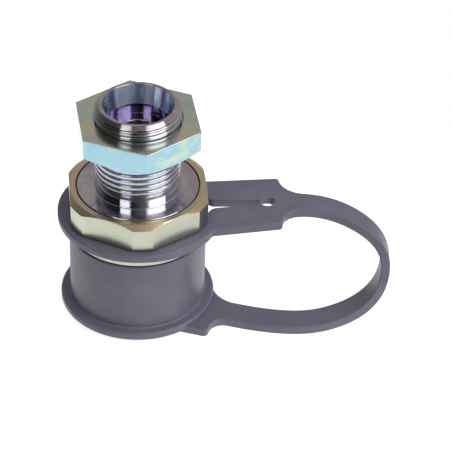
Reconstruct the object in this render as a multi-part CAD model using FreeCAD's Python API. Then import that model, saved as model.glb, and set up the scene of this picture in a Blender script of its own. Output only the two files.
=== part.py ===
"""Hydraulic trailer brake coupling, male half with a bulkhead tail, standing on its fitted dust cap.

Millimetres. The origin is on the coupling's axis in the plane of the cap's closed end,
+Z runs up the axis to the threaded port, +X points towards the cap's strap."""
import FreeCAD
import Part
import math
import os

V = FreeCAD.Vector

# Thread and adapter
thread_d = 20.0                 # metric fine thread of the bulkhead tail
thread_pitch = 1.5
thread_turns = 13
thread_depth = 0.6134 * thread_pitch
mouth_d = 16.5                  # wide end of the 24 degree cone
cone_half_angle = 12.0
cone_depth = 4.8
socket_depth = 2.5              # straight socket below the cone
bore_d = 8.6                    # flow bore through the adapter
neck_length = 2.1               # plain neck above the disc
neck_relief_length = 0.8
disc_d = 28.6                   # flat disc that closes the top of the body
disc_thickness = 2.2
adapter_thread_d = 24.0         # hidden thread that holds the adapter in the body
adapter_thread_length = 4.0
pilot_d = 22.0                  # plain pilot with the seal gland
pilot_length = 3.3
pilot_flare_d = 13.0
gland_width = 2.2
gland_depth = 1.7
gland_offset = 0.6              # from the pilot's free end
thread_gap = 0.05               # radial gap of mating threads and pilots

# Lock nut
nut_flats = 27.0
nut_thickness = 6.0
nut_setback = 3.65              # from the port's end face down to the nut
nut_bore_chamfer = 0.6
nut_corner_drop = 1.0           # height of the corner chamfer on the underside
nut_corner_angle = -79.6        # direction of one corner, degrees from +X

# Coupling body
body_flats = 32.0
body_corner_d = 34.5            # hexagon's corners are turned off to this diameter
body_corner_angle = -83.0
hex_height = 6.55
hex_bottom = 27.2
chamfer_run = 1.35              # turned chamfer on top of the hexagon
chamfer_drop = 1.0
groove_depth = 1.5              # groove under the hexagon, which holds the cap's ring
groove_height = 2.4
collar_d = 32.2
collar_height = 2.9
collar_chamfer = 0.3
nose_d = 27.2
nose_floor_gap = 0.8            # between the nose's front and the cup's floor
nose_chamfer = 1.2
ball_groove_d = 24.0            # groove that takes the mating half's locking balls
ball_groove_width = 4.0
ball_groove_height = 13.0       # middle of the groove above the base
ball_groove_slope = 1.0
front_bore_d = 8.8
front_bore_length = 2.0
seat_drop = 2.2                 # 45 degree seat of the valve
chamber_d = 17.2

# Valve
seat_gap = 0.2                  # drawn gap between the closed valve and its seat
poppet_head_height = 2.1
stem_d = 4.0
stem_top = 23.2
seal_thickness = 1.0
seal_bore_d = 5.2
tip_d = 7.9
tip_spigot_d = 3.0
tip_recess = 0.4                # tip stands this far inside the nose's front face
guide_thickness = 2.5
guide_hub_d = 11.0
guide_rim_width = 1.3
guide_windows = 3
guide_window_angle = 84.0
guide_gap = 0.1
guide_bore_gap = 0.05
spring_wire_d = 1.1
spring_mean_d = 8.6
spring_turns = 4.5
spring_end_gap = 0.05
spring_height = 9.0
snap_ring_width = 1.6
snap_ring_thickness = 1.05
snap_ring_opening = 40.0        # degrees left open
snap_ring_gap = 0.05

# Seals
o_ring_d = 1.6
backup_thickness = 0.5
seal_gap = 0.05

# Dust cap, one soft moulding
base_disc_inset = 0.2           # base disc's edge inside the cup's wall
plate_thickness = 2.2           # base plate, strap and tab
flange_reach = 2.25             # beyond the cup's wall
flange_bottom = 1.3
flange_top = 3.2
flange_edge_r = 0.5
cup_wall = 2.2
cup_rim_gap = 0.5               # between the cup's rim and the body's collar
cup_edge_r = 0.3
cup_floor = 3.6
cup_gap = 0.4                   # around the nose
ring_width = 4.0
ring_gap = 0.3                  # around the groove
ring_lift = 0.3                 # above the collar
ring_thickness = 1.9
ring_edge_r = 0.45
tab_angle = 7.0
tab_far_width = 9.45            # from the tab's middle line to its far edge
tab_near_width = 9.3            # to its near edge at the ring
tab_near_end_width = 8.4        # and at its end
tab_far_reach = 34.5            # from the axis to the tab's end
tab_near_reach = 33.5
tab_corner_r = 0.7
tab_far_shoulder_r = 6.2        # concave shoulders from the tab to the strap
tab_near_shoulder_r = 4.4
hole_d = 3.4
hole_reach = 30.8
hole_offset = 0.35              # beside the tab's middle line
slit_mouth = 2.9                # width of the slit at its mouth
slit_end = 1.6                  # and at the hole
slit_offset = 0.2
slit_corner_r = 2.4
slit_mouth_reach = 18.7         # from the axis to the middle of the mouth's rounding
slit_flare_angle = 22.0         # where the mouth ends in the ring's bore
base_angle = -14.3              # direction in which the strap leaves the base
base_edge = 10.2                # straight near edge of the base plate, from the axis
base_reach = 20.5
base_corner_r = 1.2
base_near_shoulder_r = 3.6
base_far_shoulder_r = 7.6
strap_width = 6.7
strap_stations = 25
# The strap's middle line between the base plate and the tab, fitted to the photo
strap_base_offset = -1.43       # beside the base plate's middle line
strap_run = 14.1                # straight on from the base plate
strap_bend = (10.58, 5.61, 0.3)   # next point: further on, sideways and up
strap_far_points = [(56.9, -2.5, 4.1), (60.5, 2.0, 10.2), (57.8, 1.4, 21.7)]
strap_lead = 7.1                # straight on from the tab
strap_tab_step = 0.3            # from the tab's nearer end to the strap's end face
strap_tab_offset = -0.43        # beside the tab's middle line

# Widths that follow
neck_groove_d = collar_d - 2 * groove_depth
cup_d = nose_d + 2 * cup_gap + 2 * cup_wall
base_disc_d = cup_d - 2 * base_disc_inset
flange_d = cup_d + 2 * flange_reach
ring_d = neck_groove_d + 2 * ring_gap + 2 * ring_width
strap_base_reach = base_reach + base_near_shoulder_r
tab_end = min(tab_near_reach + tab_near_shoulder_r, tab_far_reach + tab_far_shoulder_r)
strap_tab_reach = tab_end + strap_tab_step

# Heights that follow
nose_front = cup_floor + nose_floor_gap
thread_length = thread_turns * thread_pitch
disc_top = hex_bottom + hex_height
disc_bottom = disc_top - disc_thickness
neck_top = disc_top + neck_length
thread_bottom = neck_top + neck_relief_length
port_top = thread_bottom + thread_length
nut_rest_height = port_top - nut_setback - nut_thickness
adapter_thread_bottom = disc_bottom - adapter_thread_length
pilot_bottom = adapter_thread_bottom - pilot_length
groove_bottom = hex_bottom - groove_height
collar_bottom = groove_bottom - collar_height
seat_bottom = nose_front + front_bore_length
seat_top = seat_bottom + seat_drop
seal_bottom = seat_bottom + (seat_drop - seal_thickness) / 2
seal_top = seal_bottom + seal_thickness
head_top = seal_top + poppet_head_height
guide_bottom = head_top + spring_height + 2 * spring_end_gap
guide_top = guide_bottom + guide_thickness
snap_bottom = guide_top + snap_ring_gap
snap_top = snap_bottom + snap_ring_thickness
chamber_top = pilot_bottom - 0.2
ring_bottom = groove_bottom + ring_lift
ring_top = ring_bottom + ring_thickness
cup_rim = collar_bottom - cup_rim_gap


def turned(points):
    """Solid of revolution about the axis from a closed outline of (radius, height) points."""
    corners = [V(r, 0, z) for r, z in points]
    wire = Part.makePolygon(corners + corners[:1])
    return Part.Face(wire).revolve(V(0, 0, 0), V(0, 0, 1), 360)


def pipe(r_out, r_in, low, high):
    """Plain ring or tube on the axis."""
    return turned([(r_in, low), (r_out, low), (r_out, high), (r_in, high)])


def hexagon(flats, angle, low, high):
    """Hexagonal prism on the axis with one corner at the given angle."""
    r = flats / math.sqrt(3)
    turns = [math.radians(angle + 60 * i) for i in range(6)]
    corners = [V(r * math.cos(a), r * math.sin(a), low) for a in turns]
    face = Part.Face(Part.makePolygon(corners + corners[:1]))
    return face.extrude(V(0, 0, high - low))


def polar(angle, along, across, height=0.0):
    """Point given along and across a direction in plan."""
    a = math.radians(angle)
    x = along * math.cos(a) - across * math.sin(a)
    y = along * math.sin(a) + across * math.cos(a)
    return V(x, y, height)


def circle_edges(shape, radius, height):
    """Full circular edges of one radius at one height."""
    found = []
    for edge in shape.Edges:
        curve = edge.Curve
        if not isinstance(curve, Part.Circle):
            continue
        if abs(curve.Radius - radius) < 1e-4 and abs(curve.Center.z - height) < 1e-4:
            found.append(edge)
    return found


def make_body():
    """Hexagon, groove, collar and nose turned from one bar, with the valve's chamber inside."""
    hexagon_part = hexagon(body_flats, body_corner_angle, hex_bottom, disc_top)
    r = body_corner_d / 2
    turned_limit = turned([
        (0, hex_bottom), (r - collar_chamfer, hex_bottom), (r, hex_bottom + collar_chamfer),
        (r, disc_top - chamfer_drop), (r - chamfer_run, disc_top), (0, disc_top)])
    hexagon_part = hexagon_part.common(turned_limit)
    c = collar_chamfer
    groove_low = ball_groove_height - ball_groove_width / 2
    groove_high = ball_groove_height + ball_groove_width / 2
    lower = turned([
        (0, nose_front), (nose_d / 2 - nose_chamfer, nose_front),
        (nose_d / 2, nose_front + nose_chamfer),
        (nose_d / 2, groove_low - ball_groove_slope), (ball_groove_d / 2, groove_low),
        (ball_groove_d / 2, groove_high), (nose_d / 2, groove_high + ball_groove_slope),
        (nose_d / 2, collar_bottom), (collar_d / 2 - c, collar_bottom),
        (collar_d / 2, collar_bottom + c), (collar_d / 2, groove_bottom - c),
        (collar_d / 2 - c, groove_bottom), (neck_groove_d / 2, groove_bottom),
        (neck_groove_d / 2, hex_bottom), (0, hex_bottom)])
    solid = hexagon_part.fuse(lower)
    snap_r = chamber_d / 2 + snap_ring_width / 2
    bore = turned([
        (0, nose_front - 1), (front_bore_d / 2, nose_front - 1), (front_bore_d / 2, seat_bottom),
        (front_bore_d / 2 + seat_drop, seat_top), (chamber_d / 2, seat_top),
        (chamber_d / 2, snap_bottom - snap_ring_gap), (snap_r, snap_bottom - snap_ring_gap),
        (snap_r, snap_top + snap_ring_gap), (chamber_d / 2, snap_top + snap_ring_gap),
        (chamber_d / 2, chamber_top), (pilot_d / 2, chamber_top),
        (pilot_d / 2, adapter_thread_bottom - 0.1), (adapter_thread_d / 2, adapter_thread_bottom - 0.1),
        (adapter_thread_d / 2, disc_bottom), (disc_d / 2 + 3 * thread_gap, disc_bottom),
        (disc_d / 2 + 3 * thread_gap, disc_top + 1), (0, disc_top + 1)])
    return solid.cut(bore).removeSplitter()


def thread_outline():
    """Outline of the thread from bottom to top, its grooves drawn as rings and its ends run out."""
    root_r = thread_d / 2 - thread_depth
    points = []
    for i in range(thread_turns):
        low = thread_bottom + i * thread_pitch
        for share in (1 / 8, 7 / 16, 9 / 16, 7 / 8):
            z = low + share * thread_pitch
            run_out = root_r + min(z - thread_bottom, port_top - z)
            crest_r = min(thread_d / 2, run_out)
            points.append((root_r if share in (1 / 8, 7 / 8) else crest_r, z))
    return points


def make_adapter():
    """Threaded bulkhead tail with its cone mouth, neck, disc, hidden screw and pilot."""
    r = thread_d / 2
    root_r = r - thread_depth
    cone_drop = cone_depth * math.tan(math.radians(cone_half_angle))
    socket_r = mouth_d / 2 - cone_drop
    socket_bottom = port_top - cone_depth - socket_depth
    gland_low = pilot_bottom + gland_offset
    gland_high = gland_low + gland_width
    pilot_r = pilot_d / 2 - thread_gap
    screw_r = adapter_thread_d / 2 - thread_gap
    flare = (pilot_flare_d - bore_d) / 2
    upper = [(mouth_d / 2, port_top), (root_r, port_top)] + thread_outline()[::-1]
    return turned(upper + [
        (root_r, neck_top + neck_relief_length / 4), (r, neck_top), (r, disc_top),
        (disc_d / 2, disc_top), (disc_d / 2, disc_bottom), (screw_r, disc_bottom),
        (screw_r, adapter_thread_bottom), (pilot_r, adapter_thread_bottom),
        (pilot_r, gland_high), (pilot_r - gland_depth, gland_high),
        (pilot_r - gland_depth, gland_low), (pilot_r, gland_low), (pilot_r, pilot_bottom),
        (pilot_flare_d / 2, pilot_bottom), (bore_d / 2, pilot_bottom + flare),
        (bore_d / 2, socket_bottom), (socket_r, socket_bottom),
        (socket_r, port_top - cone_depth)])


def make_lock_nut():
    """Thin hexagon nut, sharp on top and chamfered at the corners underneath."""
    low = nut_rest_height
    high = low + nut_thickness
    bore_r = thread_d / 2 + thread_gap
    corner_r = nut_flats / math.sqrt(3)
    face_r = nut_flats / 2 - 0.2
    blank = hexagon(nut_flats, nut_corner_angle, low, high)
    limit = turned([
        (0, low), (face_r, low), (corner_r, low + nut_corner_drop), (corner_r, high), (0, high)])
    c = nut_bore_chamfer
    hole = turned([
        (0, low - 1), (bore_r + c + 1, low - 1), (bore_r, low + c), (bore_r, high - c),
        (bore_r + c + 1, high + 1), (0, high + 1)])
    return blank.common(limit).cut(hole)


def make_poppet():
    """Valve cone with its guide stem and the spigot that carries seal and tip."""
    seat_r = front_bore_d / 2 + (seal_top - seat_bottom) - seat_gap
    head_r = front_bore_d / 2 + seat_drop - seat_gap
    spigot_r = tip_spigot_d / 2
    spigot_bottom = nose_front + tip_recess + 0.6
    stem_r = stem_d / 2
    return turned([
        (0, spigot_bottom), (spigot_r, spigot_bottom), (spigot_r, seal_top), (seat_r, seal_top),
        (head_r, seal_top + head_r - seat_r), (head_r, head_top), (stem_r, head_top),
        (stem_r, stem_top - 0.4), (stem_r - 0.4, stem_top), (0, stem_top)])


def make_poppet_seal():
    """Soft seal clamped under the valve cone."""
    low_r = front_bore_d / 2 + (seal_bottom - seat_bottom) - seat_gap
    high_r = low_r + seal_thickness
    bore_r = seal_bore_d / 2
    return turned([(bore_r, seal_bottom), (low_r, seal_bottom), (high_r, seal_top), (bore_r, seal_top)])


def make_poppet_tip():
    """Turned tip that the mating half pushes on."""
    low = nose_front + tip_recess
    r = tip_d / 2
    bore_r = tip_spigot_d / 2
    rim_r = seal_bore_d / 2
    return turned([
        (0, low), (r - 0.4, low), (r, low + 0.4), (r, seal_bottom), (rim_r, seal_bottom),
        (rim_r, seal_top), (bore_r, seal_top), (bore_r, low + 0.6), (0, low + 0.6)])


def make_guide():
    """Guide for the stem, with kidney-shaped windows for the oil."""
    outer_r = chamber_d / 2 - guide_gap
    inner_r = outer_r - guide_rim_width
    hub_r = guide_hub_d / 2
    solid = pipe(outer_r, stem_d / 2 + guide_bore_gap, guide_bottom, guide_top)
    for i in range(guide_windows):
        start = 360.0 * i / guide_windows
        window = Part.makeCylinder(
            inner_r, guide_thickness + 2, V(0, 0, guide_bottom - 1), V(0, 0, 1), guide_window_angle)
        core = Part.makeCylinder(hub_r, guide_thickness + 4, V(0, 0, guide_bottom - 2))
        window = window.cut(core)
        window.rotate(V(0, 0, 0), V(0, 0, 1), start)
        solid = solid.cut(window)
    return solid


def make_spring():
    """Round wire coiled between the valve cone and the guide."""
    wire_r = spring_wire_d / 2
    low = head_top + spring_end_gap + wire_r
    high = guide_bottom - spring_end_gap - wire_r
    r = spring_mean_d / 2
    helix = Part.makeHelix((high - low) / spring_turns, high - low, r)
    section = Part.Wire(Part.makeCircle(wire_r, V(r, 0, 0), V(0, 1, 0)))
    spring = Part.Wire(helix).makePipeShell([section], True, True)
    spring.translate(V(0, 0, low))
    return spring


def make_snap_ring():
    """Open retaining ring above the guide."""
    outer_r = chamber_d / 2 + snap_ring_width / 2 - snap_ring_gap
    inner_r = outer_r - snap_ring_width
    solid = pipe(outer_r, inner_r, snap_bottom, snap_top)
    gap = Part.makeCylinder(
        outer_r + 1, snap_ring_thickness + 2, V(0, 0, snap_bottom - 1), V(0, 0, 1), snap_ring_opening)
    return solid.cut(gap)


def make_o_ring():
    """Seal in the adapter's gland."""
    floor_r = pilot_d / 2 - thread_gap - gland_depth
    middle_r = (floor_r + pilot_d / 2) / 2
    height = pilot_bottom + gland_offset + seal_gap + o_ring_d / 2
    return Part.makeTorus(middle_r, o_ring_d / 2, V(0, 0, height))


def make_backup_ring():
    """Plastic ring between the seal and the gland's wall."""
    floor_r = pilot_d / 2 - thread_gap - gland_depth
    high = pilot_bottom + gland_offset + gland_width - seal_gap / 2
    return pipe(pilot_d / 2 - seal_gap, floor_r + seal_gap, high - backup_thickness, high)


def make_cup():
    """Base disc, flange and cup of the dust cap, hollow for the nose."""
    inner_r = nose_d / 2 + cup_gap
    solid = turned([
        (0, 0), (base_disc_d / 2, 0), (base_disc_d / 2, flange_bottom), (flange_d / 2, flange_bottom),
        (flange_d / 2, flange_top), (cup_d / 2, flange_top), (cup_d / 2, cup_rim),
        (inner_r, cup_rim), (inner_r, cup_floor), (0, cup_floor)])
    edge_r = min(flange_edge_r, 0.9 * flange_reach)
    solid = solid.makeFillet(edge_r, circle_edges(solid, flange_d / 2, flange_top))
    return solid.makeFillet(cup_edge_r, circle_edges(solid, cup_d / 2, cup_rim))


def make_base_plate():
    """Plate under the flange that runs out into the strap by two concave shoulders."""
    near_r = base_near_shoulder_r
    far_r = base_far_shoulder_r
    near = strap_base_offset - strap_width / 2
    far = strap_base_offset + strap_width / 2
    end = base_reach + near_r
    diagonal = math.sqrt(0.5)

    def at(along, across):
        return polar(base_angle, along, across)

    near_start = at(base_reach, near - near_r)
    near_middle = at(end - near_r * diagonal, near - near_r * (1 - diagonal))
    far_start = at(end - far_r, far + far_r)
    far_middle = at(end - far_r * diagonal, far + far_r * (1 - diagonal))
    edges = [
        Part.LineSegment(at(0, far + far_r), at(0, -base_edge)),
        Part.LineSegment(at(0, -base_edge), at(base_reach - base_corner_r, -base_edge)),
        Part.LineSegment(at(base_reach - base_corner_r, -base_edge), near_start),
        Part.Arc(near_start, near_middle, at(end, near)),
        Part.LineSegment(at(end, near), at(end, far)),
        Part.Arc(at(end, far), far_middle, far_start),
        Part.LineSegment(far_start, at(0, far + far_r))]
    face = Part.Face(Part.Wire([edge.toShape() for edge in edges]))
    plate = face.extrude(V(0, 0, plate_thickness))
    reach = Part.makeCylinder(base_disc_d / 2, plate_thickness)
    outside = Part.makeBox(2 * tab_far_reach, 4 * tab_far_reach, plate_thickness, V(0, -2 * tab_far_reach, 0))
    outside.rotate(V(0, 0, 0), V(0, 0, 1), base_angle)
    return plate.common(outside).fuse(reach)


def make_tab():
    """Flat tab beside the ring, with shoulders towards the strap."""
    half = strap_width / 2
    low = ring_top - plate_thickness
    root = tab_far_width + 2

    def at(along, across):
        return polar(tab_angle, along, across, low)

    edges = []
    ends = []
    for side, root_width, end_width, reach, shoulder_r in (
            (-1, tab_near_width, tab_near_end_width, tab_near_reach, tab_near_shoulder_r),
            (1, tab_far_width, tab_far_width, tab_far_reach, tab_far_shoulder_r)):
        bend = shoulder_r * (1 - math.sqrt(0.5))
        tip = at(reach - tab_corner_r, side * end_width)
        start = at(reach, strap_tab_offset + side * (half + shoulder_r))
        middle = at(reach + bend, strap_tab_offset + side * (half + bend))
        ends.append(at(reach + shoulder_r, strap_tab_offset + side * half))
        edges.append(Part.LineSegment(at(root, side * root_width), tip))
        edges.append(Part.LineSegment(tip, start))
        edges.append(Part.Arc(start, middle, ends[-1]))
    edges.append(Part.LineSegment(at(root, -tab_near_width), at(root, tab_far_width)))
    edges.append(Part.LineSegment(ends[0], ends[1]))
    ordered = Part.sortEdges([edge.toShape() for edge in edges])[0]
    return Part.Face(Part.Wire(ordered)).extrude(V(0, 0, plate_thickness))


def make_ring_with_tab():
    """Ring in the body's groove, split through the tab up to a round hole."""
    inner_r = neck_groove_d / 2 + ring_gap
    outer_r = ring_d / 2
    ring = pipe(outer_r, inner_r, ring_bottom, ring_top)
    ring = ring.makeFillet(ring_edge_r, circle_edges(ring, outer_r, ring_top))
    ring = ring.makeFillet(ring_edge_r, circle_edges(ring, outer_r, ring_bottom))
    bore = Part.makeCylinder(inner_r + 0.5, ring_thickness + 2, V(0, 0, ring_bottom - 1))
    step = Part.makeCylinder(outer_r, ring_thickness, V(0, 0, ring_bottom - ring_thickness))
    tab = make_tab().cut(bore).cut(step)
    return ring.fuse(tab).cut(make_slit(inner_r))


def make_slit(inner_r):
    """Cutting shape of the slit, which narrows from its flared mouth to the round hole."""
    low = ring_bottom - 1
    height = ring_thickness + 2
    corner_y = slit_mouth / 2 + slit_corner_r
    corner_x = slit_mouth_reach - slit_corner_r
    flare = math.radians(slit_flare_angle)
    flare_x = inner_r * math.cos(flare)
    flare_y = inner_r * math.sin(flare)

    def prism(corners):
        points = [V(x, y + slit_offset, low) for x, y in corners]
        return Part.Face(Part.makePolygon(points + points[:1])).extrude(V(0, 0, height))

    slit = prism([
        (slit_mouth_reach, -slit_mouth / 2), (hole_reach, -slit_end / 2),
        (hole_reach, slit_end / 2), (slit_mouth_reach, slit_mouth / 2)])
    mouth = prism([
        (flare_x, -flare_y), (corner_x, -corner_y), (slit_mouth_reach, -corner_y),
        (slit_mouth_reach, corner_y), (corner_x, corner_y), (flare_x, flare_y)])
    for side in (-1, 1):
        centre = V(slit_mouth_reach, side * corner_y + slit_offset, low)
        mouth = mouth.cut(Part.makeCylinder(slit_corner_r, height, centre))
    hole = Part.makeCylinder(hole_d / 2, height, V(hole_reach, hole_offset, low))
    tool = slit.fuse(mouth).fuse(hole)
    tool.rotate(V(0, 0, 0), V(0, 0, 1), tab_angle)
    return tool


def strap_line():
    """Middle line of the strap, from the base plate round to the tab."""
    low = plate_thickness / 2
    high = ring_top - plate_thickness / 2
    bend_start = strap_base_reach + strap_run
    poles = [
        polar(base_angle, strap_base_reach, strap_base_offset, low),
        polar(base_angle, bend_start, strap_base_offset, low),
        polar(base_angle, bend_start + strap_bend[0], strap_base_offset + strap_bend[1], low + strap_bend[2])]
    poles += [V(*point) for point in strap_far_points]
    poles += [
        polar(tab_angle, strap_tab_reach + strap_lead, strap_tab_offset, high),
        polar(tab_angle, strap_tab_reach, strap_tab_offset, high)]
    curve = Part.BSplineCurve()
    curve.buildFromPoles(poles, False, 3)
    return curve


def make_strap():
    """Flat strap, its width kept level while it loops up from the base to the tab."""
    curve = strap_line()
    first, last = curve.FirstParameter, curve.LastParameter
    sections = []
    for i in range(strap_stations):
        share = i / (strap_stations - 1)
        u = first + (last - first) * share
        middle = curve.value(u)
        along = curve.tangent(u)[0]
        blend = share * share * (3 - 2 * share)
        turn = math.radians(base_angle + (tab_angle - base_angle) * blend)
        across = V(-math.sin(turn), math.cos(turn), 0)
        across = across - along * across.dot(along)
        across.normalize()
        inward = along.cross(across)
        w = across * (strap_width / 2)
        t = inward * (plate_thickness / 2)
        outline = [middle - w - t, middle + w - t, middle + w + t, middle - w + t]
        sections.append(Part.makePolygon(outline + outline[:1]))
    return Part.makeLoft(sections, True, False)


def make_dust_cap():
    """Cup, base plate, strap, tab and ring as one moulding."""
    cap = make_cup().fuse(make_base_plate())
    cap = cap.fuse(make_strap())
    return cap.fuse(make_ring_with_tab())


def main():
    os.makedirs("parts", exist_ok=True)
    shapes = {
        "coupling_body": make_body(),
        "adapter": make_adapter(),
        "lock_nut": make_lock_nut(),
        "valve_poppet": make_poppet(),
        "poppet_seal": make_poppet_seal(),
        "poppet_tip": make_poppet_tip(),
        "valve_spring": make_spring(),
        "valve_guide": make_guide(),
        "guide_ring": make_snap_ring(),
        "adapter_o_ring": make_o_ring(),
        "adapter_backup_ring": make_backup_ring(),
        "dust_cap": make_dust_cap()}
    for name, shape in shapes.items():
        shape.exportStep("parts/" + name + ".step")
        print(name, "solids", len(shape.Solids), "valid", shape.isValid(), "volume", round(shape.Volume, 2))


main()
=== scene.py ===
"""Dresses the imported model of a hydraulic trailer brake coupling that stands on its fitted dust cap.

Lengths are metres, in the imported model's frame: the coupling's axis is vertical, the origin
lies on it in the plane of the cap's closed end, and +X points towards the cap's strap."""
import math

import bmesh
import bpy
from mathutils import Matrix, Vector
from mathutils.geometry import tessellate_polygon


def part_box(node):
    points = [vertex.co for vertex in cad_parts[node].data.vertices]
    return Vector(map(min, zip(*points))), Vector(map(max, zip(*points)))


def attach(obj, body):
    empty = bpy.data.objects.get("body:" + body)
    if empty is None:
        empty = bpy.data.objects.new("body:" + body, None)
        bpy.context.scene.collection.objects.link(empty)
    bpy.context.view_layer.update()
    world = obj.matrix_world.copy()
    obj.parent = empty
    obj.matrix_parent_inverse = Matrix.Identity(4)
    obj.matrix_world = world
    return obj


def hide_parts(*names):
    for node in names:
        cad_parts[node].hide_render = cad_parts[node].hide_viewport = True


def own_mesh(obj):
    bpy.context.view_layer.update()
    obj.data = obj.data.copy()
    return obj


bl_info = {
    "name": "Hydraulic brake coupling",
    "version": (1, 0, 0),
    "blender": (4, 5, 0),
    "location": "3D View > Sidebar > Coupling",
    "description": "Builds a bulkhead brake coupling with its lock nut and soft dust cap",
    "category": "Add Mesh",
}

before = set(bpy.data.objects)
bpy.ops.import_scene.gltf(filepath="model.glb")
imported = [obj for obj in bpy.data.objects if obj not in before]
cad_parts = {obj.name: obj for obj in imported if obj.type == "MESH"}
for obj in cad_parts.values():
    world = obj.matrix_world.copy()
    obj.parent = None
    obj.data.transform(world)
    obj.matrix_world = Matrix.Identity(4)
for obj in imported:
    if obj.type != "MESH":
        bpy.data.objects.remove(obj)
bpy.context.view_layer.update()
MM = 0.001

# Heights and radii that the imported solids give
ADAPTER_LOW, ADAPTER_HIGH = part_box("adapter")
NUT_LOW, NUT_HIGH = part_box("lock_nut")
BODY_LOW, BODY_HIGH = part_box("coupling_body")
SPRING_LOW, SPRING_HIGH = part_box("valve_spring")
PORT_TOP = ADAPTER_HIGH[2]
PILOT_BOTTOM = ADAPTER_LOW[2]
DISC_R = ADAPTER_HIGH[0]
DISC_TOP = BODY_HIGH[2]
NOSE_FRONT = BODY_LOW[2]
RING_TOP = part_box("dust_cap")[1][2]

# Radial gap of the hidden threads and pilots, and how far the strap stands proud of the plates
FIT_GAP = 0.05 * MM
PROUD = 0.02 * MM

# Directions in which the corners and shoulders of the cap's flat plates end
CORNER_LEAN = math.radians(12)
SHOULDER_END = math.radians(172)


def linear(code):
    """Linear colour of an sRGB hex code."""
    values = [int(code[i:i + 2], 16) / 255 for i in (1, 3, 5)]
    return tuple(v / 12.92 if v <= 0.04045 else ((v + 0.055) / 1.055) ** 2.4 for v in values)


def size(name, description, millimetres):
    return bpy.props.FloatProperty(
        name=name, description=description, default=millimetres * MM, unit="LENGTH", precision=5)


def angle(name, description, degrees):
    return bpy.props.FloatProperty(
        name=name, description=description, default=math.radians(degrees), subtype="ANGLE")


def colour(name, description, code):
    return bpy.props.FloatVectorProperty(
        name=name, description=description, default=linear(code), subtype="COLOR", min=0, max=1)


class TailSizes(bpy.types.PropertyGroup):
    """Bulkhead tail with the external thread."""
    thread_diameter: size("Thread diameter", "Outside diameter of the thread", 20.0)
    thread_pitch: size("Thread pitch", "Rise of the thread in one turn", 1.5)
    thread_length: size("Thread length", "From the relief to the port's end face", 19.5)
    thread_end_diameter: size("Thread end", "Where the thread's two end chamfers finish", 18.1)
    mouth_diameter: size("Mouth", "Wide end of the cone", 16.5)
    cone_depth: size("Cone depth", "Height of the cone", 4.8)
    cone_half_angle: angle("Cone half angle", "Slope of the cone's wall", 12.0)
    socket_depth: size("Socket depth", "Straight socket below the cone", 2.5)
    bore_diameter: size("Bore", "Flow bore", 8.6)
    neck_length: size("Neck length", "Plain neck above the disc", 2.1)
    neck_chamfer: size("Neck chamfer", "Height of the chamfer above the neck", 0.35)
    disc_thickness: size("Disc thickness", "Disc that closes the body", 2.2)
    screw_diameter: size("Hidden screw", "Screw that holds the tail in the body", 23.9)
    screw_length: size("Hidden screw length", "Height of that screw", 4.0)
    pilot_diameter: size("Pilot", "Plain pilot with the seal's gland", 21.9)
    gland_depth: size("Gland depth", "Depth of the seal's groove", 1.7)
    gland_width: size("Gland width", "Width of the seal's groove", 2.2)
    gland_offset: size("Gland offset", "From the pilot's end to the groove", 0.6)
    pilot_flare: size("Pilot flare", "Wide end of the flare in the pilot", 13.0)
    edge_radius: size("Edge radius", "Rounding of the plated edges", 0.1)


class NutSizes(bpy.types.PropertyGroup):
    """Thin lock nut."""
    across_flats: size("Across flats", "Spanner size", 27.0)
    corner_angle: angle("Corner angle", "Direction of one corner", -79.6)
    bore_diameter: size("Bore", "Bore over the thread", 20.6)
    bore_chamfer: size("Bore chamfer", "Chamfer at both ends of the bore", 0.12)
    corner_drop: size("Corner drop", "Height of the chamfer under the corners", 1.0)
    face_inset: size("Face inset", "From the flats in to the underside's plain face", 0.2)
    edge_radius: size("Edge radius", "Rounding of the plated edges", 0.16)


class BodySizes(bpy.types.PropertyGroup):
    """Hexagonal body with groove, collar and nose."""
    across_flats: size("Across flats", "Spanner size", 32.0)
    corner_diameter: size("Corner diameter", "The corners are turned off to this", 34.5)
    corner_angle: angle("Corner angle", "Direction of one corner", -83.0)
    hexagon_height: size("Hexagon height", "Height of the hexagon", 6.7)
    chamfer_run: size("Chamfer run", "Turned chamfer on the top, across", 1.35)
    chamfer_drop: size("Chamfer drop", "Turned chamfer on the top, down", 1.0)
    seam: size("Seam", "Gap round the tail's disc", 0.28)
    groove_diameter: size("Groove", "Groove under the hexagon", 29.2)
    groove_height: size("Groove height", "Height of that groove", 2.4)
    collar_diameter: size("Collar", "Collar under the groove", 32.2)
    collar_height: size("Collar height", "Height of the collar", 2.9)
    nose_diameter: size("Nose", "Nose inside the cap", 27.2)
    nose_chamfer: size("Nose chamfer", "Chamfer on the nose's front", 1.2)
    ball_groove_diameter: size("Ball groove", "Groove for the locking balls", 24.0)
    ball_groove_width: size("Ball groove width", "Floor of that groove", 4.0)
    ball_groove_flank: size("Ball groove flank", "Height of its sloping sides", 1.0)
    ball_groove_height: size("Ball groove height", "Its middle above the base", 13.0)
    front_bore: size("Front bore", "Bore behind the nose's front face", 8.8)
    front_bore_length: size("Front bore length", "Length of that bore", 2.0)
    seat_drop: size("Seat", "Width and height of the 45 degree seat", 2.2)
    chamber: size("Chamber", "Valve chamber", 17.2)
    edge_radius: size("Edge radius", "Rounding of the plated edges", 0.14)


class SpringSizes(bpy.types.PropertyGroup):
    """Coil spring that closes the valve."""
    wire: size("Wire", "Diameter of the wire", 1.1)
    turns: bpy.props.FloatProperty(name="Turns", description="Number of turns", default=4.5)
    travel: size("Travel", "How far the valve opens and shortens the spring", 4.0)


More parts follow.
